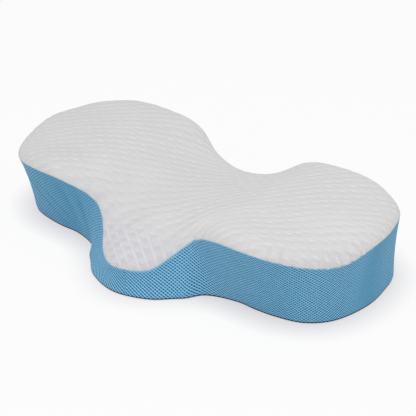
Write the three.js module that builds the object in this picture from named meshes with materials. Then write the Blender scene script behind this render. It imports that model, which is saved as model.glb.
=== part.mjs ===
// A butterfly-shaped contour pillow for back and side sleepers: one filled body with a flat
// underside, a white knitted panel stretched over its crown, and a blue mesh band round its side.
// Lengths are millimetres: +X runs along the pillow, -Y is the neck side, +Z is up. The origin is
// on the floor, under the middle of the pillow.
import * as THREE from "three";

// Right half of the pillow, from the tip of the neck lobe round to the middle of the back notch.
// seamX, seamY, rim: the seam between knitted panel and mesh band, and its height.
// footX, footY: where the band meets the underside below that seam point.
const SECTIONS = [
  { at: "lobe tip", seamX: 0, seamY: -156, rim: 39, footX: 0, footY: -161 },
  { at: "lobe shoulder", seamX: 41, seamY: -133, rim: 37, footX: 53, footY: -145 },
  { at: "lobe flank", seamX: 62, seamY: -109, rim: 55, footX: 77, footY: -124 },
  { at: "recess", seamX: 82, seamY: -95, rim: 77, footX: 90, footY: -112 },
  { at: "wing root", seamX: 100, seamY: -98, rim: 91, footX: 104, footY: -91 },
  { at: "wing front, inner", seamX: 141, seamY: -113, rim: 108, footX: 149, footY: -76 },
  { at: "wing front", seamX: 180, seamY: -116, rim: 111, footX: 177, footY: -76 },
  { at: "wing front, outer", seamX: 222, seamY: -106, rim: 107, footX: 208, footY: -73 },
  { at: "front corner", seamX: 261, seamY: -77, rim: 98, footX: 246, footY: -62 },
  { at: "end, front", seamX: 287, seamY: -40, rim: 94, footX: 274, footY: -34 },
  { at: "wing tip", seamX: 300, seamY: 25, rim: 102, footX: 291, footY: 25 },
  { at: "end, back", seamX: 294, seamY: 72, rim: 101, footX: 289, footY: 71 },
  { at: "back corner", seamX: 279, seamY: 113, rim: 102, footX: 278, footY: 113 },
  { at: "wing back, outer", seamX: 232, seamY: 143, rim: 108.5, footX: 234, footY: 150 },
  { at: "wing back", seamX: 193, seamY: 153, rim: 109.5, footX: 194, footY: 159 },
  { at: "wing back, inner", seamX: 151, seamY: 159, rim: 105.5, footX: 151, footY: 161 },
  { at: "notch corner", seamX: 120, seamY: 160, rim: 101.5, footX: 121, footY: 159 },
  { at: "notch side", seamX: 94, seamY: 157, rim: 93, footX: 95, footY: 154 },
  { at: "notch slope", seamX: 59, seamY: 149, rim: 67, footX: 61, footY: 144 },
  { at: "notch", seamX: 0, seamY: 139, rim: 57, footX: 0, footY: 133 },
];
const TIP_ROW = SECTIONS.findIndex((row) => row.at === "wing tip");

// Heights of the crown away from the seam, on the right half: the head hollow runs from the
// neck ramp to the back notch, between two high wings.
const CROWN = [
  { at: "neck ramp, foot", x: 0, y: -112, top: 67 },
  { at: "neck ramp, top", x: 0, y: -78, top: 85 },
  { at: "neck ridge", x: 0, y: -35, top: 92 },
  { at: "head hollow", x: 0, y: 35, top: 90 },
  { at: "hollow, back", x: 0, y: 100, top: 80 },
  { at: "hollow side, front", x: 55, y: -45, top: 98 },
  { at: "hollow side, back", x: 55, y: 65, top: 94 },
  { at: "wing edge, front", x: 105, y: -40, top: 115 },
  { at: "wing edge, back", x: 105, y: 60, top: 111 },
  { at: "wing, front", x: 175, y: -50, top: 124 },
  { at: "wing, back", x: 175, y: 65, top: 122.5 },
  { at: "wing end, front", x: 240, y: -5, top: 122 },
  { at: "wing end, back", x: 235, y: 75, top: 120.5 },
];

const SHOULDER_WIDTH = 28; // the rounded edge of the crown, measured inwards from the seam
const SHOULDER_RISE = 15; // and upwards from it
const PANEL_THICKNESS = 2.5;
const BAND_THICKNESS = 3;
const CLEARANCE = 0.4; // between the body and the cloth stretched over it
const SEAM_GAP = 0.5; // between the panel's edge and the band's, measured upwards
const DRAWN_IN = 2; // how far the band's middle is drawn in between seam and foot
const FOOT_HEIGHT = 3; // the band ends this far above the floor
const ROLLED_EDGE = 7; // width of the underside's rounded edge

const HALF_STEPS = 56; // steps round each half of the outline, tip to tip
const ACROSS = 12; // rows across the crown
const ACROSS_BASE = 4; // rows across the flat underside
const WALL_STEPS = 4;
const SHOULDER_STEPS = 4;
const FINE = 40; // samples of the seam between two sections, for even steps

const WHITE_KNIT = 0xe4e3e5;
const BLUE_MESH = 0x5a9cc0;
const BASE_CLOTH = 0x40434a;

// The closed loop of section values, counterclockwise from the left wing's tip.
function closedCurve(pick) {
  const right = SECTIONS.map(pick);
  const left = right.slice(1, -1).map((p) => new THREE.Vector3(-p.x, p.y, p.z));
  const loop = [...left.slice(0, TIP_ROW).reverse(), ...right, ...left.slice(TIP_ROW).reverse()];
  return new THREE.CatmullRomCurve3(loop, true, "centripetal");
}

const seamCurve = closedCurve((row) => new THREE.Vector3(row.seamX, row.seamY, row.rim));
const footCurve = closedCurve((row) => new THREE.Vector3(row.footX, row.footY, FOOT_HEIGHT));

// Curve parameters of evenly spaced seam points between two tips.
function evenParameters(from, to) {
  const count = Math.round((to - from) * seamCurve.points.length) * FINE;
  const points = [];
  for (let i = 0; i <= count; i++) {
    points.push(seamCurve.getPoint(from + ((to - from) * i) / count));
  }
  const run = [0];
  for (let i = 1; i <= count; i++) {
    run.push(run[i - 1] + points[i].distanceTo(points[i - 1]));
  }
  const parameters = [];
  let k = 0;
  for (let s = 0; s < HALF_STEPS; s++) {
    const wanted = (run[count] * s) / HALF_STEPS;
    while (run[k + 1] < wanted) {
      k++;
    }
    const part = (wanted - run[k]) / (run[k + 1] - run[k]);
    parameters.push(from + ((to - from) * (k + part)) / count);
  }
  return parameters;
}

// Stations round the pillow, as curve parameters.
function makeStations() {
  const rightTip = (2 * TIP_ROW) / seamCurve.points.length;
  return [...evenParameters(0, rightTip), ...evenParameters(rightTip, 1)];
}

const stations = makeStations();
const seams = stations.map((t) => seamCurve.getPoint(t));
const feet = stations.map((t) => footCurve.getPoint(t));

// A loop moved inwards in plan by a distance, square to its own run.
function movedIn(loop, distance) {
  return loop.map((point, i) => {
    const before = loop.at(i - 1);
    const after = loop[(i + 1) % loop.length];
    const along = Math.hypot(after.x - before.x, after.y - before.y);
    const x = point.x - ((after.y - before.y) / along) * distance;
    const y = point.y + ((after.x - before.x) / along) * distance;
    return new THREE.Vector3(x, y, point.z);
  });
}

// A thin-plate surface through the heights of the crown's edge and of the crown.
function makeHeightField() {
  const edge = SECTIONS.map((row) => [row.seamX, row.seamY, row.rim + SHOULDER_RISE]);
  const inner = CROWN.map((row) => [row.x, row.y, row.top]);
  const known = [...edge, ...inner].flatMap(([x, y, z]) => (x > 0 ? [[x, y, z], [-x, y, z]] : [[x, y, z]]));
  const n = known.length;
  const kernel = (dx, dy) => {
    const squared = dx * dx + dy * dy;
    return squared > 0 ? 0.5 * squared * Math.log(squared) : 0;
  };
  const matrix = known.map(([x, y]) => [...known.map(([u, v]) => kernel(x - u, y - v)), 1, x, y]);
  for (let k = 0; k < 3; k++) {
    matrix.push([...known.map(([x, y]) => [1, x, y][k]), 0, 0, 0]);
  }
  const weights = solve(matrix, [...known.map((point) => point[2]), 0, 0, 0]);
  return (x, y) => {
    let z = weights[n] + weights[n + 1] * x + weights[n + 2] * y;
    known.forEach(([u, v], i) => (z += weights[i] * kernel(x - u, y - v)));
    return z;
  };
}

// Gaussian elimination with row exchange.
function solve(matrix, values) {
  const rows = matrix.map((row, i) => [...row, values[i]]);
  const n = rows.length;
  for (let c = 0; c < n; c++) {
    let best = c;
    for (let r = c + 1; r < n; r++) {
      if (Math.abs(rows[r][c]) > Math.abs(rows[best][c])) {
        best = r;
      }
    }
    [rows[c], rows[best]] = [rows[best], rows[c]];
    for (let r = c + 1; r < n; r++) {
      const factor = rows[r][c] / rows[c][c];
      for (let k = c; k <= n; k++) {
        rows[r][k] -= factor * rows[c][k];
      }
    }
  }
  const result = new Array(n).fill(0);
  for (let r = n - 1; r >= 0; r--) {
    let rest = rows[r][n];
    for (let k = r + 1; k < n; k++) {
      rest -= rows[r][k] * result[k];
    }
    result[r] = rest / rows[r][r];
  }
  return result;
}

const heightAt = makeHeightField();

// How far the true edge height of each station differs from the smooth height field.
const edgeOffsets = seams.map((seam) => seam.z + SHOULDER_RISE - heightAt(seam.x, seam.y));

// One loop of the crown's shoulder, from the seam (turn 0) to its inner edge (turn 90 degrees),
// on a surface that lies deeper than the outside by the given thicknesses.
function shoulderRing(turn, sideDepth, topDepth) {
  const inset = SHOULDER_WIDTH - (SHOULDER_WIDTH - sideDepth) * Math.cos(turn);
  const drop = SHOULDER_RISE - (SHOULDER_RISE - topDepth) * Math.sin(turn);
  const loop = movedIn(seams, inset);
  loop.forEach((point, i) => (point.z = heightAt(point.x, point.y) + edgeOffsets[i] - drop));
  return loop;
}

// One loop of the side wall, from the seam (share 0) down to the foot (share 1).
function wallRing(share, depth) {
  const bow = DRAWN_IN * 4 * share * (1 - share);
  const loop = seams.map((seam, i) => seam.clone().lerp(feet[i], share));
  return movedIn(loop, depth + bow);
}

// Collects triangles of one closed solid.
class Skin {
  constructor() {
    this.points = [];
    this.triangles = [];
  }

  add(point) {
    return this.points.push(point) - 1;
  }

  ring(points) {
    return points.map((point) => this.add(point));
  }

  quad(a, b, c, d) {
    this.triangles.push(a, b, c, a, c, d);
  }

  // A strip between two loops, the second above the first or inside it on the top.
  strip(lower, upper, facesOut = true) {
    const n = lower.length;
    for (let i = 0; i < n; i++) {
      const j = (i + 1) % n;
      if (facesOut) this.quad(lower[i], lower[j], upper[j], upper[i]);
      else this.quad(lower[i], upper[i], upper[j], lower[j]);
    }
  }

  // Fills a loop with rows that join each front point to the back point opposite it.
  fill(loop, across, facesUp, lift) {
    const rows = [];
    for (let i = 1; i < HALF_STEPS; i++) {
      const front = loop[i];
      const back = loop[2 * HALF_STEPS - i];
      const row = [front];
      for (let j = 1; j < across; j++) {
        row.push(this.add(lift(i, front, back, j / across, this.points)));
      }
      row.push(back);
      rows.push(row);
    }
    const tip = (point, row, turned) => {
      for (let j = 0; j < across; j++) {
        const [a, b] = turned ? [row[j + 1], row[j]] : [row[j], row[j + 1]];
        this.triangles.push(...(facesUp ? [point, a, b] : [point, b, a]));
      }
    };
    tip(loop[0], rows[0], false);
    for (let i = 0; i + 1 < rows.length; i++) {
      for (let j = 0; j < across; j++) {
        const [a, b, c, d] = [rows[i][j], rows[i + 1][j], rows[i + 1][j + 1], rows[i][j + 1]];
        if (facesUp) this.quad(a, b, c, d);
        else this.quad(a, d, c, b);
      }
    }
    tip(loop[HALF_STEPS], rows.at(-1), true);
  }

  mesh(name, color, roughness) {
    const geometry = new THREE.BufferGeometry();
    const values = this.points.flatMap((point) => [point.x, point.y, point.z]);
    geometry.setAttribute("position", new THREE.Float32BufferAttribute(values, 3));
    geometry.setIndex(this.triangles);
    geometry.computeVertexNormals();
    const material = new THREE.MeshStandardMaterial({ color, roughness, metalness: 0 });
    const mesh = new THREE.Mesh(geometry, material);
    mesh.name = name;
    return mesh;
  }
}

// A point of the crown between two opposite points of the shoulder's inner loop.
function crownPoint(depth) {
  return (i, front, back, share, points) => {
    const point = points[front].clone().lerp(points[back], share);
    const offset = THREE.MathUtils.lerp(edgeOffsets[i], edgeOffsets[2 * HALF_STEPS - i], share);
    point.z = heightAt(point.x, point.y) + offset - depth;
    return point;
  };
}

const flatPoint = (i, front, back, share, points) => points[front].clone().lerp(points[back], share);

const shoulderTurns = Array.from(
  { length: SHOULDER_STEPS + 1 },
  (_, k) => (k / SHOULDER_STEPS) * (Math.PI / 2),
);
const wallShares = Array.from({ length: WALL_STEPS + 1 }, (_, k) => 1 - k / WALL_STEPS);

// The filled pillow: flat underside of dark grey base cloth with a rolled edge, side wall,
// shoulder and crown.
function pillowBody() {
  const skin = new Skin();
  const sideDepth = BAND_THICKNESS + CLEARANCE;
  const topDepth = PANEL_THICKNESS + CLEARANCE;
  const base = wallRing(1, sideDepth + ROLLED_EDGE).map((point) => point.setZ(0));
  const roll = wallRing(1, sideDepth + ROLLED_EDGE * 0.3).map((point) => point.setZ(FOOT_HEIGHT * 0.3));
  const loops = [base, roll];
  for (const share of wallShares.slice(0, -1)) {
    loops.push(wallRing(share, sideDepth));
  }
  for (const turn of shoulderTurns) {
    loops.push(shoulderRing(turn, sideDepth, topDepth));
  }
  const rings = loops.map((loop) => skin.ring(loop));
  for (let k = 0; k + 1 < rings.length; k++) {
    skin.strip(rings[k], rings[k + 1]);
  }
  skin.fill(rings[0], ACROSS_BASE, false, flatPoint);
  skin.fill(rings.at(-1), ACROSS, true, crownPoint(topDepth));
  return skin.mesh("pillow_body", BASE_CLOTH, 0.9);
}

// The knitted panel: a sheet over the crown and its shoulder, down to the seam.
function topPanel() {
  const skin = new Skin();
  const ring = (turn, depth) => {
    const loop = shoulderRing(turn, depth, depth);
    if (turn === 0) loop.forEach((point) => (point.z += SEAM_GAP / 2));
    return skin.ring(loop);
  };
  const outer = shoulderTurns.map((turn) => ring(turn, 0));
  const inner = shoulderTurns.map((turn) => ring(turn, PANEL_THICKNESS));
  skin.strip(inner[0], outer[0]);
  for (let k = 0; k < SHOULDER_STEPS; k++) {
    skin.strip(outer[k], outer[k + 1]);
    skin.strip(inner[k], inner[k + 1], false);
  }
  skin.fill(outer.at(-1), ACROSS, true, crownPoint(0));
  skin.fill(inner.at(-1), ACROSS, false, crownPoint(PANEL_THICKNESS));
  return skin.mesh("top_panel", WHITE_KNIT, 0.95);
}

// The mesh band: a closed strip round the side, between the seam and the underside.
function sideBand() {
  const skin = new Skin();
  const ring = (share, depth) => {
    const loop = wallRing(share, depth);
    loop.forEach((point) => (point.z -= (SEAM_GAP / 2) * (1 - share)));
    return skin.ring(loop);
  };
  const outer = wallShares.map((share) => ring(share, 0));
  const inner = wallShares.map((share) => ring(share, BAND_THICKNESS));
  skin.strip(inner[0], outer[0]);
  for (let k = 0; k < WALL_STEPS; k++) {
    skin.strip(outer[k], outer[k + 1]);
    skin.strip(inner[k], inner[k + 1], false);
  }
  skin.strip(outer.at(-1), inner.at(-1));
  return skin.mesh("side_band", BLUE_MESH, 0.8);
}

const pillow = new THREE.Group();
pillow.add(pillowBody(), topPanel(), sideBand());

export default pillow;
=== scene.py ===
# The looks of a butterfly contour pillow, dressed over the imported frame: a filled body, a white
# knitted top with raised diamonds, and a blue mesh band with a lattice of small holes.
import math
from collections import namedtuple

import bpy
import numpy as np
from mathutils import Matrix, Vector
from mathutils.geometry import delaunay_2d_cdt


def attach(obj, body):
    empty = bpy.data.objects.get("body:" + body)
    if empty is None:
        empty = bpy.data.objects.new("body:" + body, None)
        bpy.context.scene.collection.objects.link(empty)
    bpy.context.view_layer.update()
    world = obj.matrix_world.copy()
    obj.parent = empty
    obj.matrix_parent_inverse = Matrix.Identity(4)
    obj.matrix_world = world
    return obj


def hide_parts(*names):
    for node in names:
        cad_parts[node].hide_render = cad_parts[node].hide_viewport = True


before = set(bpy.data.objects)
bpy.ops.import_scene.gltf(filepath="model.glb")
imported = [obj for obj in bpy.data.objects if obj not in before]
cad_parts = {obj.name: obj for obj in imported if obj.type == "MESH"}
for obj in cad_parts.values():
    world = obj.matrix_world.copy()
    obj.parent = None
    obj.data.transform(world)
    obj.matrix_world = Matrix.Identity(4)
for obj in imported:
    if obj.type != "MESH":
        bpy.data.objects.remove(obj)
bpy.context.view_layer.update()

# Right half of the pillow, from the lobe's tip to the back notch, in metres as all lengths here.
# rim is the seam's height; the foot is where the band meets the underside.
Section = namedtuple("Section", "place seam_x seam_y rim foot_x foot_y")
SECTIONS = [
    Section("lobe tip", 0.000, -0.156, 0.039, 0.000, -0.161),
    Section("lobe shoulder", 0.041, -0.133, 0.037, 0.053, -0.145),
    Section("lobe flank", 0.062, -0.109, 0.055, 0.077, -0.124),
    Section("recess", 0.082, -0.095, 0.077, 0.090, -0.112),
    Section("wing root", 0.100, -0.098, 0.091, 0.104, -0.091),
    Section("wing front, inner", 0.141, -0.113, 0.108, 0.149, -0.076),
    Section("wing front", 0.180, -0.116, 0.111, 0.177, -0.076),
    Section("wing front, outer", 0.222, -0.106, 0.107, 0.208, -0.073),
    Section("front corner", 0.261, -0.077, 0.098, 0.246, -0.062),
    Section("end, front", 0.287, -0.040, 0.094, 0.274, -0.034),
    Section("wing tip", 0.300, 0.025, 0.102, 0.291, 0.025),
    Section("end, back", 0.294, 0.072, 0.101, 0.289, 0.071),
    Section("back corner", 0.279, 0.113, 0.102, 0.278, 0.113),
    Section("wing back, outer", 0.232, 0.143, 0.1085, 0.234, 0.150),
    Section("wing back", 0.193, 0.153, 0.1095, 0.194, 0.159),
    Section("wing back, inner", 0.151, 0.159, 0.1055, 0.151, 0.161),
    Section("notch corner", 0.120, 0.160, 0.1015, 0.121, 0.159),
    Section("notch side", 0.094, 0.157, 0.093, 0.095, 0.154),
    Section("notch slope", 0.059, 0.149, 0.067, 0.061, 0.144),
    Section("notch", 0.000, 0.139, 0.057, 0.000, 0.133),
]

# Heights of the crown away from the seam, on the right half.
Crest = namedtuple("Crest", "place x y top")
CROWN = [
    Crest("neck ramp, foot", 0.000, -0.112, 0.067),
    Crest("neck ramp, top", 0.000, -0.078, 0.085),
    Crest("neck ridge", 0.000, -0.035, 0.092),
    Crest("head hollow", 0.000, 0.035, 0.090),
    Crest("hollow, back", 0.000, 0.100, 0.080),
    Crest("hollow side, front", 0.055, -0.045, 0.098),
    Crest("hollow side, back", 0.055, 0.065, 0.094),
    Crest("wing edge, front", 0.105, -0.040, 0.115),
    Crest("wing edge, back", 0.105, 0.060, 0.111),
    Crest("wing, front", 0.175, -0.050, 0.124),
    Crest("wing, back", 0.175, 0.065, 0.1225),
    Crest("wing end, front", 0.240, -0.005, 0.122),
    Crest("wing end, back", 0.235, 0.075, 0.1205),
]

# Build of the pillow
SHOULDER_WIDTH = 0.028
SHOULDER_RISE = 0.015
DRAWN_IN = 0.002          # how far the wall bows in, halfway up
FOOT_HEIGHT = 0.003
COVER_DEPTH = 0.0035      # the filled body lies this far under the two cloths
SEAM_PINCH = 0.0003       # how far the stitching pulls both cloths in
SEAM_ALLOWANCE = 0.0024   # cloth turned in behind the seam
HEM = 0.0008              # how far the band's lower edge curls in
STITCH_WIDTH = 0.0012     # the pinch, the curl and the join fade over this width
BASE_DEPTH = 0.0011       # the base cloth's margin under the band, set back this far
EASED_LOOP = 0.003        # the seam and the foot line are smoothed over this length,
EASED_CORNER = 0.012      # and the inward directions along them over this one
EDGE_SPACING = 0.02       # of the seam's points that the crown's surface is tied to

# Knit
DIAMOND_X = 0.022         # the knitted diamonds' diagonals
DIAMOND_Y = 0.020
RELIEF_HEIGHT = 0.0009
LOBE_RELIEF = 0.0015      # the same down the lobe, where the cloth is pulled on the slant
RELIEF_LEVEL = 0.72       # the share of those heights that lies under the panel's own surface
SMOOTH_FLATTENS = 0.6     # the share of them that goes where the knit is pulled smooth
NET_SHARE = 0.35          # of the relief's height, in the net's thin ridges
NET_WIDTH = 0.08          # as a share of a diamond
NET_ON_WINGS = (0.25, 0.60)     # how strong the net's two sets of ridges are
NET_IN_LOBE = (1.00, 0.25)
NET_LEVEL = 0.55          # the middle and the range of what each diamond makes of that strength
NET_RANGE = 0.9
LIT_SIDE = np.array([0.0007, -0.0011])   # painted highlight on this side of each ridge, painted shade on the other
DIMPLE_LONG = 0.0046      # a dimple's half sizes
DIMPLE_SHORT = 0.0021
DIMPLE_TURN = 0.41        # the slope of its long axis in plan, on the wings
DIMPLE_RANGE = 0.5        # of its depth, from diamond to diamond
STRAY_RANGE = np.array([0.0050, 0.0028])   # of its place in its diamond
STRAY_HELD = np.array([0.6, 0.4])          # the share of that range that is lost down the lobe
DIAMOND_KINDS = 64
DIAMOND_VARIES = np.random.default_rng(5).random((DIAMOND_KINDS, DIAMOND_KINDS, 3))
UV_SCALE = 10

# Where the knit is pulled on the slant: in front of a line across the neck, between the recesses
LOBE_START = -0.085
LOBE_GROWS = 0.03
LOBE_HALF_WIDTH = 0.11
LOBE_FADES = 0.02
SKEW = 0.46               # sideways shift of the knit there, for each metre down the lobe
SKEW_HALF_WIDTH = 0.13
SKEW_FADES = 0.05

# Slow waves that bring the knit's pattern out of line: how far each shifts it, and the distances
# in x and y over which it turns by one radian
Wander = namedtuple("Wander", "shift_x shift_y over_x over_y start")
WANDERS = [
    Wander(0.0030, 0, math.inf, 0.047, 0.7),
    Wander(0.0015, 0, 0.033, 0.029, 0),
    Wander(0, 0.0026, 0.061, math.inf, 0),
    Wander(0, 0.0012, 0.024, -0.035, 0),
]

# Mesh
LATTICE_ALONG = 0.0056    # the mesh's repeat, with a hole at its corner and one at its middle
LATTICE_UP = 0.00465
HOLE_DEPTH = 0.0009
HOLES_FADE = 0.003        # the holes close up over this distance below the seam
JOIN_X = 0.015            # the band's ends are sewn together here, at the front of the lobe
JOIN_DEPTH = 0.0008

# Ripples of the knit beside the seam: where they are in plan, how far they run along the seam,
# how far they reach from it, and their repeat and height
Pucker = namedtuple("Pucker", "place x y spread reach repeat height")
PUCKER_PAINTED_LIGHT = 90          # painted highlight on their crests and painted shade in their troughs, for each metre of height
PUCKER_STRAY = 1.3        # how far they stray from an even rhythm, in radians,
PUCKER_STRAY_RUN = 0.031  # and over what distance
PUCKERS = [
    Pucker("right end, front", 0.288, -0.035, 0.050, 0.010, 0.013, 0.0013),
    Pucker("right wing, front", 0.235, -0.098, 0.040, 0.009, 0.015, 0.0009),
    Pucker("lobe tip", 0.010, -0.156, 0.050, 0.008, 0.013, 0.0005),
    Pucker("left wing tip", -0.292, -0.010, 0.050, 0.011, 0.014, 0.0006),
    Pucker("right recess", 0.092, -0.094, 0.030, 0.010, 0.017, 0.0006),
    Pucker("left recess", -0.092, -0.094, 0.030, 0.010, 0.017, 0.0006),
]

# Where the knit's relief is flattened and a painted highlight makes it pale over the pillow's round
# corners, or, with a share below zero, its relief is deeper and painted shade makes it darker
Smooth = namedtuple("Smooth", "place x y spread share")
SMOOTH_AND_PAINTED_LIGHT_PARTS = [
    Smooth("left wing, front", -0.170, -0.065, 0.050, -0.35),
    Smooth("right wing root", 0.093, -0.080, 0.022, 1.0),
    Smooth("left wing root", -0.112, -0.058, 0.020, 0.4),
    Smooth("right end", 0.262, 0.010, 0.045, 0.3),
    Smooth("left wing, back", -0.060, 0.115, 0.040, 0.3),
]

# Where the knit's marks are fainter than elsewhere
FAINT_PARTS = [
    Smooth("left wing root, front", -0.072, -0.060, 0.040, 0.50),
    Smooth("neck ridge", -0.020, -0.020, 0.045, 0.45),
]

# The mesh round the pillow, by distance from its join: the share of the strain on one of its two
# slants, how deep and dark its holes are beside the usual (in places this too is painted shade), and
# how much painted shade darkens it evenly where the band turns from the light
Weave = namedtuple("Weave", "place s slant open shade")
WEAVE = [
    Weave("lobe, right", 0.034, 0.65, 1.00, 0.10),
    Weave("lobe flank", 0.082, 0.55, 1.00, 0.04),
    Weave("recess", 0.133, 0.72, 1.15, 0.00),
    Weave("wing front, inner", 0.175, 0.62, 1.20, 0.14),
    Weave("wing front", 0.226, 0.64, 1.10, 0.20),
    Weave("wing front, outer", 0.276, 0.42, 1.00, 0.12),
    Weave("front corner", 0.315, 0.22, 1.10, 0.00),
    Weave("end, front", 0.345, 0.35, 0.65, 0.42),
    Weave("right end", 0.370, 0.45, 0.50, 0.66),
    Weave("wing tip", 0.420, 0.50, 0.60, 0.50),
    Weave("notch", 0.750, 0.50, 0.90, 0.20),
    Weave("left wing tip", 1.150, 0.50, 0.80, 0.40),
    Weave("left wing front", 1.270, 0.25, 0.80, 0.50),
    Weave("left wing front, inner", 1.355, 0.25, 0.75, 0.58),
    Weave("left recess", 1.395, 0.40, 0.70, 0.42),
    Weave("left lobe flank", 1.440, 0.50, 0.75, 0.30),
    Weave("lobe, left", 1.515, 0.78, 0.95, 0.00),
]

# Soft creases in the band: slope is how far one leans along the band for each metre down
Crease = namedtuple("Crease", "place s slope width depth")
CREASE_SHADE = 35         # painted shade darkens the band this much more in a crease, for each metre of depth
CREASES = [
    Crease("left wing, outer", 1.300, 0.9, 0.0080, 0.0016),
    Crease("left wing, middle", 1.330, 0.8, 0.0070, 0.0012),
    Crease("left wing, inner", 1.364, 0.2, 0.0070, 0.0018),
    Crease("left recess", 1.388, 0.1, 0.0045, 0.0022),
    Crease("left lobe flank", 1.432, 0.1, 0.0040, 0.0012),
    Crease("left lobe flank, front", 1.462, 0.1, 0.0050, 0.0010),
    Crease("right wing, inner", 0.205, 0.7, 0.0090, 0.0010),
    Crease("right end", 0.352, -0.1, 0.0100, 0.0012),
]

# The base cloth's rounded edge: depths inside the foot line, and heights
BASE_EDGE = [(0.0060, 0.0), (0.0022, 0.0003), (0.0012, 0.0010), (BASE_DEPTH, 0.0024)]

# Fineness of the pieces' meshes
HALF_LENGTH = 0.30        # the grids of points reach this far from the middle
HALF_WIDTH = 0.17
HIGHEST_WALL = 0.12
RING_STEP = 0.0017
SHOULDER_ROWS = 22
SEAM_FADE_ROWS = 5        # the relief grows from the seam over this many of them
POINTS_PER_DIAMOND = 14
POINTS_PER_REPEAT = 4
CLEARANCE = 0.6           # the share of a step that inner points keep from a cloth's edge
JUST_SHORT = 1e-6         # keeps the band's far end apart from its start
BODY_STEP = 0.006
BODY_WALL_START = 0.04
BODY_WALL_ROWS = 13
BODY_SHOULDER_ROWS = 6
BODY_CLEARANCE = 0.5

# Colours of the cloths
KNIT_DULL = (0.600, 0.599, 0.604, 1)
KNIT_CLEAR = (0.625, 0.624, 0.627, 1)
# Painted shade: a darker, cooler tint down the lobe, where its slant turns from the light
KNIT_SHADED_IN_LOBE = (0.600, 0.588, 0.622, 1)
KNIT_RAISED_AND_HIGHLIT = (0.72, 0.72, 0.72, 1)
KNIT_FUZZ = (0.55, 0.55, 0.57, 1)
THREAD_DARK = (0.160, 0.450, 0.690, 1)
THREAD_LIGHT = (0.290, 0.640, 0.875, 1)
MESH_HOLE = (0.010, 0.10, 0.23, 1)
MESH_WORN = (0.20, 0.42, 0.62, 1)
MESH_PAINTED_SHADE = (0.030, 0.21, 0.37, 1)
MESH_JOIN = (0.09, 0.32, 0.52, 1)
BASE_LOOP = (0.050, 0.055, 0.065, 1)
BASE_VALLEY = (0.022, 0.025, 0.032, 1)
BASE_FUZZ = (0.09, 0.095, 0.11, 1)


def blend(first, second, share):
    """The first value at share 0 and the second at share 1."""
    return first + (second - first) * share


def hill(off, width):
    """1 at no distance, falling to nothing beyond a width or two."""
    return np.exp(-(off / width)**2)


def below(value, limit, length):
    """0 above a limit, growing to 1 over a length below it."""
    return np.clip((limit - value) / length, 0, 1)


def arched(share):
    """1 halfway and 0 at both ends."""
    return 4 * share * (1 - share)


def closed_curve(points, per_span=100):
    """Points along a closed centripetal Catmull-Rom curve, evenly spaced in its parameter."""
    p0, p1, p2, p3 = (np.roll(points, k, axis=0)[:, None, :] for k in (1, 0, -1, -2))
    d0, d1, d2 = (np.sqrt(np.linalg.norm(b - a, axis=2, keepdims=True))
                  for a, b in ((p0, p1), (p1, p2), (p2, p3)))
    m1 = d1 * ((p1 - p0) / d0 - (p2 - p0) / (d0 + d1) + (p2 - p1) / d1)
    m2 = d1 * ((p2 - p1) / d1 - (p3 - p1) / (d1 + d2) + (p3 - p2) / d2)
    w = np.linspace(0, 1, per_span, endpoint=False)[None, :, None]
    cubic = 2 * p1 - 2 * p2 + m1 + m2
    square = 3 * p2 - 3 * p1 - 2 * m1 - m2
    return (p1 + m1 * w + square * w**2 + cubic * w**3).reshape(-1, points.shape[1])


def mirrored_loop(rows):
    """A closed loop from the rows of the right half and their mirror images."""
    right = np.array(rows)
    left = right[-2:0:-1] * ([-1] + [1] * (right.shape[1] - 1))
    return closed_curve(np.vstack([right, left]))


def smooth_round(values, sigma):
    """Circular Gaussian smoothing along a loop of evenly spaced samples."""
    frequency = np.fft.rfftfreq(len(values))
    filtered = np.fft.rfft(values, axis=0) * np.exp(-2 * (math.pi * sigma * frequency[:, None])**2)
    return np.fft.irfft(filtered, n=len(values), axis=0)


class Outline:
    """The seam and foot loops, sampled evenly along the band from the join in its cloth."""

    STEP = 0.0005

    def __init__(self):
        seam = mirrored_loop([(r.seam_x, r.seam_y, r.rim) for r in SECTIONS])
        foot = mirrored_loop([(r.foot_x, r.foot_y, FOOT_HEIGHT) for r in SECTIONS])
        start = int(np.argmin(np.abs(seam[: len(seam) // 4, 0] - JOIN_X)))
        both = np.roll(np.hstack([seam, foot]), -start, axis=0)
        both = np.vstack([both, both[:1]])
        middle = (both[:, :2] + both[:, 3:5]) / 2
        run = np.concatenate([[0], np.cumsum(np.linalg.norm(np.diff(middle, axis=0), axis=1))])
        self.length = run[-1]
        count = int(self.length / self.STEP)
        self.step = self.length / count
        even = np.arange(count) * self.step
        samples = np.stack([np.interp(even, run, column) for column in both.T], axis=1)
        samples = smooth_round(samples, EASED_LOOP / self.step)
        self.seam = samples[:, :3]
        self.foot = samples[:, 3:]
        self.height = np.linalg.norm(self.seam - self.foot, axis=1)

    def sample(self, values, s):
        """Values of the loop at distances s, which may run past its ends."""
        place = np.mod(s, self.length) / self.step
        low = np.floor(place).astype(int) % len(values)
        share = place - np.floor(place)
        if values.ndim > 1:
            share = share[..., None]
        return values[low] * (1 - share) + values[(low + 1) % len(values)] * share


outline = Outline()


def inward(loop):
    """Unit vectors in plan, square to a loop and pointing into it, eased round its corners."""
    along = np.roll(loop[:, :2], -1, axis=0) - np.roll(loop[:, :2], 1, axis=0)
    along /= np.linalg.norm(along, axis=1, keepdims=True)
    along = smooth_round(along, EASED_CORNER / outline.step)
    along /= np.linalg.norm(along, axis=1, keepdims=True)
    return np.stack([-along[:, 1], along[:, 0], np.zeros(len(loop))], axis=1)


SEAM_INWARD = inward(outline.seam)
FOOT_INWARD = inward(outline.foot)


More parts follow.
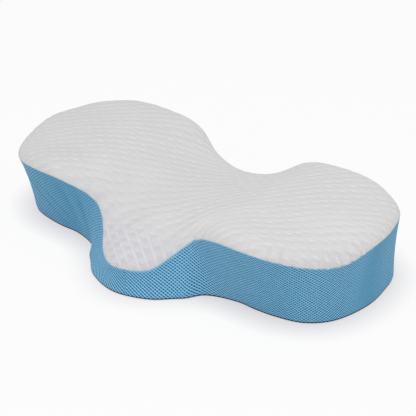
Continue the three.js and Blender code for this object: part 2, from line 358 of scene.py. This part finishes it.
class HeightField:
    """A thin-plate surface through the heights of the crown's edge and of the crown."""

    def __init__(self):
        every = int(EDGE_SPACING / outline.step)
        edge = outline.seam[::every] + [0, 0, SHOULDER_RISE]
        inner = [(side * r.x, r.y, r.top) for r in CROWN for side in ((1, -1) if r.x > 0 else (1,))]
        known = np.vstack([edge, inner])
        self.centres = known[:, :2]
        plane = np.hstack([np.ones((len(known), 1)), self.centres])
        matrix = np.block([[self.kernel(self.centres), plane], [plane.T, np.zeros((3, 3))]])
        self.weights = np.linalg.solve(matrix, np.concatenate([known[:, 2], np.zeros(3)]))

    def kernel(self, points):
        """The thin-plate function of each point's distance to each centre, in millimetres."""
        squared = ((points[:, None, :] - self.centres[None, :, :])**2).sum(axis=2) * 1e6
        return 0.5 * squared * np.log(np.maximum(squared, 1e-12))

    def __call__(self, points):
        plane = np.hstack([np.ones((len(points), 1)), points])
        n = len(self.centres)
        return self.kernel(points) @ self.weights[:n] + plane @ self.weights[n:]


height_at = HeightField()
EDGE_OFFSET = outline.seam[:, 2] + SHOULDER_RISE - height_at(outline.seam[:, :2])


def shoulder_points(turn, s, side_depth=0.0, top_depth=0.0):
    """Points of the crown's rounded edge at distances s, from the seam (turn 0) inwards (90)."""
    inset = SHOULDER_WIDTH - (SHOULDER_WIDTH - side_depth) * math.cos(turn)
    drop = SHOULDER_RISE - (SHOULDER_RISE - top_depth) * math.sin(turn)
    points = outline.sample(outline.seam, s) + outline.sample(SEAM_INWARD, s) * inset
    fade = 1 - inset / SHOULDER_WIDTH
    points[:, 2] = height_at(points[:, :2]) + outline.sample(EDGE_OFFSET, s) * fade - drop
    return points


def wall_points(s, up, depth=0.0):
    """Points of the side at distances s round it and up its slope from the foot."""
    height = outline.sample(outline.height, s)
    share = np.clip(1 - up / height, 0, 1)[:, None]
    points = outline.sample(outline.seam, s) * (1 - share) + outline.sample(outline.foot, s) * share
    normal = outline.sample(SEAM_INWARD, s) * (1 - share) + outline.sample(FOOT_INWARD, s) * share
    normal /= np.linalg.norm(normal, axis=1, keepdims=True)
    return points + normal * (DRAWN_IN * arched(share) + depth), normal


def stations(step):
    """Distances round the pillow, evenly spaced by about a step."""
    count = int(round(outline.length / step))
    return np.arange(count) * outline.length / count


def inside(points, loop):
    """Which points lie inside a closed loop in plan."""
    x, y = points[:, :1], points[:, 1:2]
    x0, y0 = loop[:, 0], loop[:, 1]
    x1, y1 = np.roll(x0, -1), np.roll(y0, -1)
    crosses = (y0 > y) != (y1 > y)
    reach = x0 + (y - y0) * (x1 - x0) / np.where(y1 == y0, 1e-12, y1 - y0)
    return (np.logical_and(crosses, x < reach).sum(axis=1) % 2) == 1


def triangulate(boundary, inner):
    """Triangles over a closed boundary in plan and the points inside it, as rows of indices."""
    flat = np.vstack([boundary, inner])
    loop = list(range(len(boundary)))
    result = delaunay_2d_cdt([Vector(p) for p in flat], [], [loop], 1, 1e-7, True)
    faces = np.array([[result[3][i][0] for i in face] for face in result[2]])
    bridging = (faces < len(boundary)).all(axis=1)
    kept = ~bridging
    kept[bridging] = inside(flat[faces[bridging]].mean(axis=1), boundary)
    return faces[kept].tolist()


def strip(first, second, count):
    """Quads between two rows of a ring's vertices, given by the rows' first indices."""
    return [[first + i, first + (i + 1) % count, second + (i + 1) % count, second + i]
            for i in range(count)]


def make_mesh(name, points, faces, uv=None, values=None):
    """A smooth mesh object, with a UV map and named values kept at its points."""
    mesh = bpy.data.meshes.new(name)
    mesh.from_pydata(np.asarray(points).tolist(), [], faces)
    mesh.validate()
    mesh.shade_smooth()
    if uv is not None:
        corner = np.empty(len(mesh.loops), dtype=np.int32)
        mesh.loops.foreach_get("vertex_index", corner)
        mesh.uv_layers.new(name="cloth").data.foreach_set("uv", uv[corner].astype(np.float32).ravel())
    for key, value in (values or {}).items():
        layer = mesh.attributes.new(key, "FLOAT", "POINT")
        layer.data.foreach_set("value", np.asarray(value, dtype=np.float32))
    piece = bpy.data.objects.new(name, mesh)
    bpy.context.scene.collection.objects.link(piece)
    return piece


def point_normals(points, faces):
    """Unit normals at the points of a mesh of triangles and quads."""
    normals = np.zeros_like(points)
    for size in (3, 4):
        chosen = np.array([face for face in faces if len(face) == size])
        if len(chosen) == 0:
            continue
        a, b, c = points[chosen[:, 0]], points[chosen[:, 1]], points[chosen[:, 2]]
        flat = np.cross(b - a, c - a)
        for k in range(size):
            np.add.at(normals, chosen[:, k], flat)
    return normals / np.maximum(np.linalg.norm(normals, axis=1, keepdims=True), 1e-12)


def eased(pattern):
    """Pattern coordinates of the knit, pulled slightly out of line as it is sewn on."""
    x, y = pattern.T
    skewed = below(np.abs(x), SKEW_HALF_WIDTH, SKEW_FADES)
    x = x + SKEW * np.minimum(y - LOBE_START, 0) * skewed
    moved = np.stack([x, y], axis=1)
    for wander in WANDERS:
        turn = x / wander.over_x + y / wander.over_y + wander.start
        moved += np.sin(turn)[:, None] * [wander.shift_x, wander.shift_y]
    return moved


def bias(pattern):
    """How far the cloth is pulled on the slant: 0 on the wings, 1 down the lobe."""
    x, y = pattern.T
    return below(y, LOBE_START, LOBE_GROWS) * below(np.abs(x), LOBE_HALF_WIDTH, LOBE_FADES)


def knit_relief(place, pulled):
    """Height, from about 0 to 1, of the knit's diamond net with a dimple in each diamond."""
    rising = place[:, 0] / DIAMOND_X + place[:, 1] / DIAMOND_Y
    falling = place[:, 0] / DIAMOND_X - place[:, 1] / DIAMOND_Y
    row = np.floor(rising).astype(int)
    column = np.floor(falling).astype(int)
    along = rising - row - 0.5
    across = falling - column - 0.5
    vary = DIAMOND_VARIES[row % DIAMOND_KINDS, column % DIAMOND_KINDS] - 0.5

    stray = STRAY_RANGE * vary[:, :2] * (1 - STRAY_HELD * pulled[:, None])
    dx = (along + across) / 2 * DIAMOND_X + stray[:, 0]
    dy = (along - across) / 2 * DIAMOND_Y + stray[:, 1] - DIMPLE_TURN * (1 - pulled) * dx
    dimple = (1 + DIMPLE_RANGE * vary[:, 2]) * hill(dx, DIMPLE_LONG) * hill(dy, DIMPLE_SHORT)

    between_ridges = 1
    for offset, on_wings, in_lobe in zip((along, across), NET_ON_WINGS, NET_IN_LOBE):
        strength = blend(on_wings, in_lobe, pulled) * (NET_LEVEL + NET_RANGE * vary[:, 2])
        ridge = strength * hill(0.5 - np.abs(offset), NET_WIDTH)
        between_ridges = between_ridges * (1 - ridge)
    return (1 - NET_SHARE) * (1 - dimple) + NET_SHARE * (1 - between_ridges)


def puckers(points):
    """Small ripples that fan out from the seam where the panel is eased round a corner."""
    # Every tenth point of the seam is close enough, and batches keep the table of distances small
    every = 10
    batches = 40
    seam = outline.seam[::every]
    run = np.arange(len(seam)) * every * outline.step
    lift = np.zeros(len(points))
    for part in np.array_split(np.arange(len(points)), batches):
        gap = np.linalg.norm(points[part, None, :] - seam[None], axis=2)
        nearest = gap.argmin(axis=1)
        away = gap[np.arange(len(part)), nearest]
        s = run[nearest]
        for pucker in PUCKERS:
            off = np.linalg.norm(seam[nearest, :2] - [pucker.x, pucker.y], axis=1)
            stray = PUCKER_STRAY * np.sin(s / PUCKER_STRAY_RUN)
            fold = np.cos(2 * math.pi * s / pucker.repeat + stray)
            near = hill(off, pucker.spread) * hill(away - pucker.reach, pucker.reach)
            lift[part] += pucker.height * fold * near
    return lift


def patches(points, parts):
    """The shares of the parts of a table that fade out round their middles, added up."""
    total = np.zeros(len(points))
    for part in parts:
        off = np.linalg.norm(points[:, :2] - [part.x, part.y], axis=1)
        total += part.share * hill(off, part.spread)
    return total


def knit_top():
    """The white knitted panel: the crown and its shoulder down to the seam, turned in behind it."""
    s = stations(RING_STEP)
    count = len(s)
    turns = np.linspace(0, math.pi / 2, SHOULDER_ROWS)
    rows = [shoulder_points(turn, s) for turn in turns]
    inner = rows[-1]
    outward = -outline.sample(SEAM_INWARD, s)
    stretch = np.zeros((SHOULDER_ROWS, count))
    for k in range(SHOULDER_ROWS - 2, -1, -1):
        stretch[k] = stretch[k + 1] + np.linalg.norm(rows[k + 1] - rows[k], axis=1)
    patterns = [inner[:, :2] + outward[:, :2] * stretch[k][:, None] for k in range(SHOULDER_ROWS)]

    seam = rows[0] - outward * SEAM_PINCH
    tucked = seam - outward * SEAM_ALLOWANCE
    points = [tucked, seam] + rows[1:]
    patterns = [patterns[0], patterns[0]] + patterns[1:]
    faces = []
    for k in range(len(points) - 1):
        faces += strip(k * count, (k + 1) * count, count)

    step_x, step_y = DIAMOND_X / POINTS_PER_DIAMOND, DIAMOND_Y / POINTS_PER_DIAMOND
    xs = np.arange(-HALF_LENGTH // step_x, HALF_LENGTH // step_x + 1) * step_x
    ys = np.arange(-HALF_WIDTH // step_y, HALF_WIDTH // step_y + 1) * step_y
    grid = np.stack(np.meshgrid(xs, ys), axis=-1).reshape(-1, 2)
    # Every third point of the margin is close enough
    every = 3
    margin = inner - outward * RING_STEP * CLEARANCE
    grid = grid[inside(grid, margin[::every])]
    crown = np.column_stack([grid, height_at(grid)])
    first = (len(points) - 1) * count
    faces += [[first + i for i in face] for face in triangulate(inner[:, :2], grid)]
    points = np.vstack(points + [crown])
    patterns = np.vstack(patterns + [grid])

    place, pulled = eased(patterns), bias(patterns)
    relief = knit_relief(place, pulled)
    # Painted light and shade: each ridge's side towards LIT_SIDE is painted paler, its other side
    # darker
    painted_side_light = (knit_relief(place - LIT_SIDE, pulled) - knit_relief(place + LIT_SIDE, pulled)) / 2
    fade = np.ones(len(points))
    for k in range(SEAM_FADE_ROWS + 1):
        fade[k * count:(k + 1) * count] = max(0, k - 1) / SEAM_FADE_ROWS
    smooth_and_painted_light, faint = patches(points, SMOOTH_AND_PAINTED_LIGHT_PARTS), patches(points, FAINT_PARTS)
    height = blend(RELIEF_HEIGHT, LOBE_RELIEF, pulled) * (1 - SMOOTH_FLATTENS * smooth_and_painted_light)
    raised = (relief - RELIEF_LEVEL) * fade * height
    lift = puckers(points)
    normals = point_normals(points, faces)
    points = points + normals * (raised + lift)[:, None]

    relief = blend(relief, relief.mean(), faint)
    # The puckers get painted highlights on their crests and painted shade in their troughs
    painted_side_light = painted_side_light * (1 - faint) + lift * PUCKER_PAINTED_LIGHT
    return make_mesh("knit_top", points, faces, uv=place * UV_SCALE,
                     values={"relief": relief, "painted_side_light": painted_side_light, "pulled": pulled, "smooth_and_painted_light": smooth_and_painted_light})


def woven(s, column):
    """One column of the WEAVE table at distances s, straight between its rows."""
    return np.interp(s, [row.s for row in WEAVE], [getattr(row, column) for row in WEAVE],
                     period=outline.length)


def hole_share(cells, slant):
    """How deep in a hole each lattice coordinate lies: 1 at a hole's middle, 0 on the threads."""
    falling = np.cos(2 * math.pi * (cells[:, 0] + cells[:, 1]))
    rising = np.cos(2 * math.pi * (cells[:, 0] - cells[:, 1]))
    return np.clip(slant * falling + (1 - slant) * rising, 0, 1)


def creased(s, up):
    """How far the band is drawn in by its soft creases."""
    height = outline.sample(outline.height, s)
    share = np.clip(up / height, 0, 1)
    drawn = np.zeros(len(s))
    for crease in CREASES:
        off = s - crease.s - crease.slope * (height / 2 - up)
        drawn += crease.depth * hill(off, crease.width)
    return drawn * arched(share)


def band_points(s, up):
    """The band's surface: the wall, its curled lower edge, and the allowance behind the seam."""
    height = outline.sample(outline.height, s)
    points, normal = wall_points(s, np.minimum(up, height))
    pinch = SEAM_PINCH * hill(height - up, STITCH_WIDTH)
    tuck = np.clip(up - height, 0, SEAM_ALLOWANCE)
    curl = HEM * hill(up, STITCH_WIDTH)
    points += normal * (pinch + tuck + curl)[:, None]
    return points, normal


def mesh_band():
    """The blue mesh band: an open strip, its ends sewn together at the front of the lobe."""
    step_s, step_up = LATTICE_ALONG / POINTS_PER_REPEAT, LATTICE_UP / POINTS_PER_REPEAT
    columns = np.arange(1, int(outline.length / step_s))
    rows = np.arange(int(HIGHEST_WALL / step_up))
    i, j = np.meshgrid(columns, rows)
    chosen = (i + j) % 2 == 0
    grid = np.stack([i[chosen] * step_s, j[chosen] * step_up], axis=1)
    gap = outline.sample(outline.height, grid[:, 0]) - grid[:, 1]
    grid = grid[(gap > step_up * CLEARANCE) & (grid[:, 1] > step_up * CLEARANCE)
                & (grid[:, 0] < outline.length - step_s * CLEARANCE)]

    edge_s = np.linspace(0, outline.length, len(columns))
    edge_s[-1] -= JUST_SHORT
    heights = outline.sample(outline.height, edge_s)
    seam = np.stack([edge_s, heights], axis=1)
    top = seam + [0, SEAM_ALLOWANCE]
    bottom = np.stack([edge_s, np.zeros(len(edge_s))], axis=1)
    side_rows = np.arange(2 * step_up, heights[0] - step_up, 2 * step_up)
    right = np.stack([np.full(len(side_rows), outline.length - JUST_SHORT), side_rows], axis=1)
    left = np.stack([np.zeros(len(side_rows)), side_rows[::-1]], axis=1)
    boundary = np.vstack([bottom, right, top[::-1], left])
    inner = np.vstack([seam[1:-1], grid])
    faces = triangulate(boundary, inner)

    flat = np.vstack([boundary, inner])
    cells = flat / [LATTICE_ALONG, LATTICE_UP]
    s, up = flat.T
    points, normal = band_points(s, up)
    join = hill(np.minimum(s, outline.length - s), STITCH_WIDTH)
    slant, openness, shade = (woven(s, name) for name in ("slant", "open", "shade"))
    openness = openness * below(up, outline.sample(outline.height, s), HOLES_FADE)
    holes = hole_share(cells, slant) * openness * HOLE_DEPTH
    drawn = creased(s, up)
    # Painted shade: darker where the band turns from the light, darker still in its creases
    shade = np.clip(shade + drawn * CREASE_SHADE, 0, 1)
    depth = blend(holes, JOIN_DEPTH, join) + drawn
    points = points + normal * depth[:, None]
    return make_mesh("mesh_band", points, faces, uv=cells,
                     values={"join": join, "slant": slant, "openness": openness, "shade": shade})


def foam_body():
    """The filled body under the cloths, closed by the base cloth on its flat underside."""
    s = stations(BODY_STEP)
    count = len(s)
    rows = []
    for depth, z in BASE_EDGE:
        ring, _ = wall_points(s, np.zeros(count), depth)
        ring[:, 2] = z
        rows.append(ring)
    foot_ring = rows[0]
    height = outline.sample(outline.height, s)
    for share in np.linspace(BODY_WALL_START, 1, BODY_WALL_ROWS, endpoint=False):
        rows.append(wall_points(s, height * share, COVER_DEPTH)[0])
    for turn in np.linspace(0, math.pi / 2, BODY_SHOULDER_ROWS):
        rows.append(shoulder_points(turn, s, COVER_DEPTH, COVER_DEPTH))
    faces = []
    for k in range(len(rows) - 1):
        faces += strip(k * count, (k + 1) * count, count)

    spread = np.arange(-HALF_LENGTH, HALF_LENGTH, BODY_STEP)
    grid = np.stack(np.meshgrid(spread, spread), axis=-1).reshape(-1, 2)
    top_ring = rows[-1]
    clear = BODY_STEP * BODY_CLEARANCE
    on_top = grid[inside(grid, top_ring + outline.sample(SEAM_INWARD, s) * clear)]
    on_base = grid[inside(grid, foot_ring + outline.sample(FOOT_INWARD, s) * clear)]
    first = (len(rows) - 1) * count
    faces += [[i + first for i in face] for face in triangulate(top_ring[:, :2], on_top)]
    shift = first + len(on_top)
    base_faces = triangulate(foot_ring[:, :2], on_base)
    faces += [[i if i < count else i + shift for i in face[::-1]] for face in base_faces]
    crown = np.column_stack([on_top, height_at(on_top) - COVER_DEPTH])
    base = np.column_stack([on_base, np.zeros(len(on_base))])
    points = np.vstack(rows + [crown, base])
    return make_mesh("foam_body", points, faces, uv=points[:, :2] * UV_SCALE)


class Shader:
    """A node material, with short calls for the nodes that the cloths use."""

    def __init__(self, name):
        self.material = bpy.data.materials.new(name)
        self.material.use_nodes = True
        self.nodes = self.material.node_tree.nodes
        self.links = self.material.node_tree.links
        self.surface = self.nodes["Principled BSDF"]

    def node(self, kind, **settings):
        made = self.nodes.new(kind)
        for key, value in settings.items():
            setattr(made, key, value)
        return made

    def feed(self, socket, value):
        if isinstance(value, bpy.types.NodeSocket):
            self.links.new(value, socket)
        else:
            socket.default_value = value

    def math(self, operation, *values):
        made = self.node("ShaderNodeMath", operation=operation)
        for socket, value in zip(made.inputs, values):
            self.feed(socket, value)
        return made.outputs[0]

    def plus(self, first, second):
        return self.math("ADD", first, second)

    def times(self, first, second):
        return self.math("MULTIPLY", first, second)

    def between(self, share, first, second):
        """The first number at share 0 and the second at share 1."""
        return self.plus(self.times(share, second - first), first)

    def wave(self, coordinate, repeat):
        """A cosine along a coordinate, with the given repeat."""
        return self.math("COSINE", self.times(coordinate, 2 * math.pi / repeat))

    def step(self, value, low, high):
        """0 at the first limit and beyond, 1 at the second and beyond, eased between them."""
        made = self.node("ShaderNodeMapRange", interpolation_type="SMOOTHSTEP")
        for key, given in (("Value", value), ("From Min", low), ("From Max", high)):
            self.feed(made.inputs[key], given)
        return made.outputs[0]

    def mix(self, share, first, second):
        made = self.node("ShaderNodeMix", data_type="RGBA")
        self.feed(made.inputs["Factor"], share)
        self.feed(made.inputs["A"], first)
        self.feed(made.inputs["B"], second)
        return made.outputs["Result"]

    def noise(self, vector, scale, detail=2.0):
        made = self.node("ShaderNodeTexNoise")
        self.feed(made.inputs["Vector"], vector)
        self.feed(made.inputs["Scale"], scale)
        self.feed(made.inputs["Detail"], detail)
        return made.outputs["Fac"]

    def uv(self):
        split = self.node("ShaderNodeSeparateXYZ")
        self.feed(split.inputs[0], self.node("ShaderNodeUVMap", uv_map="cloth").outputs[0])
        return split.outputs[0], split.outputs[1]

    def value(self, name):
        return self.node("ShaderNodeAttribute", attribute_name=name).outputs["Fac"]

    def place(self):
        return self.node("ShaderNodeTexCoord").outputs["Object"]

    def bump(self, height, distance, strength):
        made = self.node("ShaderNodeBump")
        self.feed(made.inputs["Height"], height)
        self.feed(made.inputs["Distance"], distance)
        self.feed(made.inputs["Strength"], strength)
        self.feed(self.surface.inputs["Normal"], made.outputs[0])

    def set(self, **values):
        names = {"colour": "Base Color", "roughness": "Roughness", "sheen": "Sheen Weight",
                 "sheen_roughness": "Sheen Roughness", "specular": "Specular IOR Level"}
        for key, value in values.items():
            self.feed(self.surface.inputs[names[key]], value)


def knit_lines(shader, x, y, pulled):
    """Painted highlights along the net's ridges, partly paler yarn: thin ones on one slant, and down
    the lobe wide ones on the other.
    """
    width = shader.between(pulled, 0.10, 0.30)
    slants = []
    for diamond_y in (DIAMOND_Y, -DIAMOND_Y):
        turns = shader.plus(shader.math("DIVIDE", x, DIAMOND_X * UV_SCALE),
                            shader.math("DIVIDE", y, diamond_y * UV_SCALE))
        near = shader.math("PINGPONG", turns, 0.5)
        slants.append(shader.step(near, low=width, high=0.0))
    leading = shader.times(slants[0], pulled)
    other = shader.times(slants[1], shader.between(pulled, 1.0, 0.3))
    return shader.math("MAXIMUM", leading, other)


def knit_material():
    """White double knit: small loops, faintly uneven, paler on the raised net, with painted
    highlights on its ridges and their lit sides and painted shade in its dimples.
    """
    shader = Shader("white_knit_cloth")
    x, y = shader.uv()
    place = shader.place()
    raised, painted_side_light = shader.value("relief"), shader.value("painted_side_light")
    pulled, smooth_and_painted_light = shader.value("pulled"), shader.value("smooth_and_painted_light")
    lines = knit_lines(shader, x, y, pulled)

    # How pale the yarn is, much of it painted light and shade: on the wings the first number counts,
    # down the lobe the second
    relief_and_shade_share = shader.between(pulled, 0.54, 0.32)
    highlight_line_share = shader.between(pulled, 0.08, 0.63)
    unbroken = shader.between(pulled, 0.0, 0.6)
    painted_side_light_share = 2.9
    broken = shader.math("MAXIMUM", shader.step(shader.noise(place, scale=70), 0.35, 0.6), unbroken)
    # The raised net is paler partly in its yarn and partly by painted highlight; the dimples get
    # painted shade
    pale = shader.plus(shader.times(raised, relief_and_shade_share),
                       shader.times(shader.times(lines, broken), highlight_line_share))
    # Painted light and shade on each ridge's lit and far sides
    pale = shader.plus(pale, shader.times(painted_side_light, painted_side_light_share))

    # Painted light: the patches are made evenly pale by painted highlight, or darker by painted shade
    # below zero
    painted_light_contrast = 0.5
    painted_light_level = 0.75
    pale = shader.times(pale, shader.between(smooth_and_painted_light, 1.0, painted_light_contrast))
    pale = shader.plus(pale, shader.times(smooth_and_painted_light, painted_light_level))

    cloudy = shader.step(shader.noise(place, scale=14), 0.3, 0.7)
    base = shader.mix(cloudy, KNIT_DULL, KNIT_CLEAR)
    # Down the lobe the base takes the painted shade tint
    base = shader.mix(pulled, base, KNIT_SHADED_IN_LOBE)
    level_shift = -0.07
    lit = shader.mix(shader.plus(pale, level_shift), base, KNIT_RAISED_AND_HIGHLIT)
    fuzz = shader.noise(place, scale=900, detail=3)
    fuzz_share = 0.12
    shader.set(colour=shader.mix(shader.times(fuzz, fuzz_share), lit, KNIT_FUZZ))
    shader.set(roughness=0.9, sheen=0.15, sheen_roughness=0.5, specular=0.2)

    # The fine relief of the yarn, for the bump
    loops = shader.times(shader.wave(x, repeat=0.012), shader.wave(y, repeat=0.010))
    loop_height = 0.5
    fuzz_height = 0.6
    line_height = 1.5
    height = shader.plus(shader.times(loops, loop_height), shader.times(fuzz, fuzz_height))
    height = shader.plus(height, shader.times(lines, line_height))
    shader.bump(height, distance=0.0002, strength=0.5)
    return shader.material


def mesh_material():
    """Blue spacer mesh: light threads round dark holes, painted shade over the band's darker places
    and creases, and a sewn join in the band.
    """
    shader = Shader("blue_spacer_mesh")
    u, v = shader.uv()
    slant = shader.value("slant")
    falling = shader.wave(shader.plus(u, v), repeat=1.0)
    rising = shader.wave(shader.math("SUBTRACT", u, v), repeat=1.0)
    other_slant = shader.math("SUBTRACT", 1.0, slant)
    lattice = shader.plus(shader.times(falling, slant), shader.times(rising, other_slant))

    place = shader.place()
    uneven = shader.between(shader.noise(place, scale=260), -0.25, 0.25)
    hole = shader.step(shader.plus(lattice, uneven), -0.15, 0.45)
    hole = shader.times(hole, shader.value("openness"))
    strands = shader.noise(place, scale=2200, detail=2)
    cloth = shader.mix(hole, shader.mix(strands, THREAD_DARK, THREAD_LIGHT), MESH_HOLE)
    worn = shader.step(shader.noise(place, scale=9), 0.35, 0.75)
    worn_share = 0.10
    cloth = shader.mix(shader.times(worn, worn_share), cloth, MESH_WORN)
    # Painted shade, evenly over the band's darker places and in its creases
    cloth = shader.mix(shader.value("shade"), cloth, MESH_PAINTED_SHADE)
    join_share = 0.6
    cloth = shader.mix(shader.times(shader.value("join"), join_share), cloth, MESH_JOIN)
    shader.set(colour=cloth, roughness=0.75, sheen=0.1, sheen_roughness=0.4, specular=0.3)

    strand_height = 0.3
    height = shader.math("SUBTRACT", shader.times(strands, strand_height), hole)
    shader.bump(height, distance=0.0004, strength=0.6)
    return shader.material


def base_material():
    """The base cloth: a close knit with small raised grains, coloured dark grey so that its edge
    shows as a thin dark line along the foot.
    """
    shader = Shader("grey_base_cloth")
    x, y = shader.uv()
    loops = shader.times(shader.wave(x, repeat=0.028), shader.wave(y, repeat=0.023))
    valley = shader.step(loops, -0.2, 0.8)
    fuzz = shader.noise(shader.place(), scale=700, detail=3)
    fuzz_share = 0.3
    colour = shader.mix(valley, BASE_LOOP, BASE_VALLEY)
    shader.set(colour=shader.mix(shader.times(fuzz, fuzz_share), colour, BASE_FUZZ))
    shader.set(roughness=0.9, sheen=0.05, sheen_roughness=0.5, specular=0.2)
    shader.bump(shader.math("SUBTRACT", fuzz, valley), distance=0.0003, strength=0.5)
    return shader.material


def dress():
    """The three soft pieces, each in the place of its solid."""
    top = knit_top()
    top.data.materials.append(knit_material())
    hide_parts("top_panel")

    band = mesh_band()
    band.data.materials.append(mesh_material())
    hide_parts("side_band")

    body = foam_body()
    body.data.materials.append(base_material())
    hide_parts("pillow_body")
    for piece in (top, band, body):
        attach(piece, "root")


# Camera, as fitted to the photograph
CAMERA_AZIMUTH = math.radians(38.5)
CAMERA_ELEVATION = math.radians(29.1)
CAMERA_DISTANCE = 1.711
CAMERA_ASIDE = 0.0256
CAMERA_RAISED = 0.0507
CAMERA_MIDDLE_Y = 0.007   # the point on the floor that the distance is measured from
SENSOR_WIDTH = 36.0       # in millimetres, as the lens
LENS = 101.6

# Light and floor
SURROUND = (0.69, 0.70, 0.70, 1)
KEY_AT = (0.35, -0.40, 1.65)
KEY_POWER = 11.8
KEY_SIZE = 0.9
KEY_COLOUR = (1.0, 0.96, 0.98)
FLOOR_COLOUR = (0.06, 0.06, 0.06, 1)
FLOOR_GLOW = (0.913, 0.913, 0.913, 1)
SHADED_GLOW = (0.50, 0.495, 0.55, 1)   # painted shadow: the floor's glow where the pillow stands close all round
SHADE_REACH = 0.045
FLOOR_REACH = 12


def camera():
    """The photograph's viewpoint, looking down on the pillow's front right."""
    azimuth, elevation = CAMERA_AZIMUTH, CAMERA_ELEVATION
    back = Vector((math.sin(azimuth) * math.cos(elevation),
                   -math.cos(azimuth) * math.cos(elevation), math.sin(elevation)))
    right = Vector((math.cos(azimuth), math.sin(azimuth), 0))
    up = back.cross(right)
    data = bpy.data.cameras.new("camera")
    data.lens = LENS
    data.sensor_width = SENSOR_WIDTH
    seen = bpy.data.objects.new("camera", data)
    seen.matrix_world = Matrix((right, up, back)).transposed().to_4x4()
    middle = Vector((0, CAMERA_MIDDLE_Y, 0))
    seen.location = middle + back * CAMERA_DISTANCE + right * CAMERA_ASIDE + up * CAMERA_RAISED
    bpy.context.scene.collection.objects.link(seen)
    bpy.context.scene.camera = seen


def floor():
    """A large plain white floor that fades into the white surround, its glow darkened into a painted
    shadow where the pillow stands close.
    """
    corners = [(x * FLOOR_REACH, y * FLOOR_REACH, 0) for x, y in ((-1, -1), (1, -1), (1, 1), (-1, 1))]
    ground = make_mesh("floor", corners, [[0, 1, 2, 3]])
    shader = Shader("white_floor")
    shader.set(colour=FLOOR_COLOUR, roughness=1.0, specular=0.0)
    # Painted shadow: the floor's glow darkens where the pillow closes it in
    openness = shader.node("ShaderNodeAmbientOcclusion", samples=16)
    openness.inputs["Distance"].default_value = SHADE_REACH
    glow = shader.mix(openness.outputs["AO"], SHADED_GLOW, FLOOR_GLOW)
    shader.feed(shader.surface.inputs["Emission Color"], glow)
    shader.surface.inputs["Emission Strength"].default_value = 1.0
    ground.data.materials.append(shader.material)


def lights():
    """A white studio: even light from all round, and a wide soft light above the viewer."""
    world = bpy.data.worlds.new("studio")
    world.use_nodes = True
    background = world.node_tree.nodes["Background"]
    background.inputs["Color"].default_value = SURROUND
    background.inputs["Strength"].default_value = 1.0
    bpy.context.scene.world = world
    data = bpy.data.lights.new("key", "AREA")
    data.energy = KEY_POWER
    data.color = KEY_COLOUR
    data.size = KEY_SIZE
    lamp = bpy.data.objects.new("key", data)
    lamp.location = KEY_AT
    lamp.rotation_euler = Vector(KEY_AT).to_track_quat("Z", "Y").to_euler()
    bpy.context.scene.collection.objects.link(lamp)
    bpy.context.scene.view_settings.view_transform = "Standard"


dress()
camera()
floor()
lights()
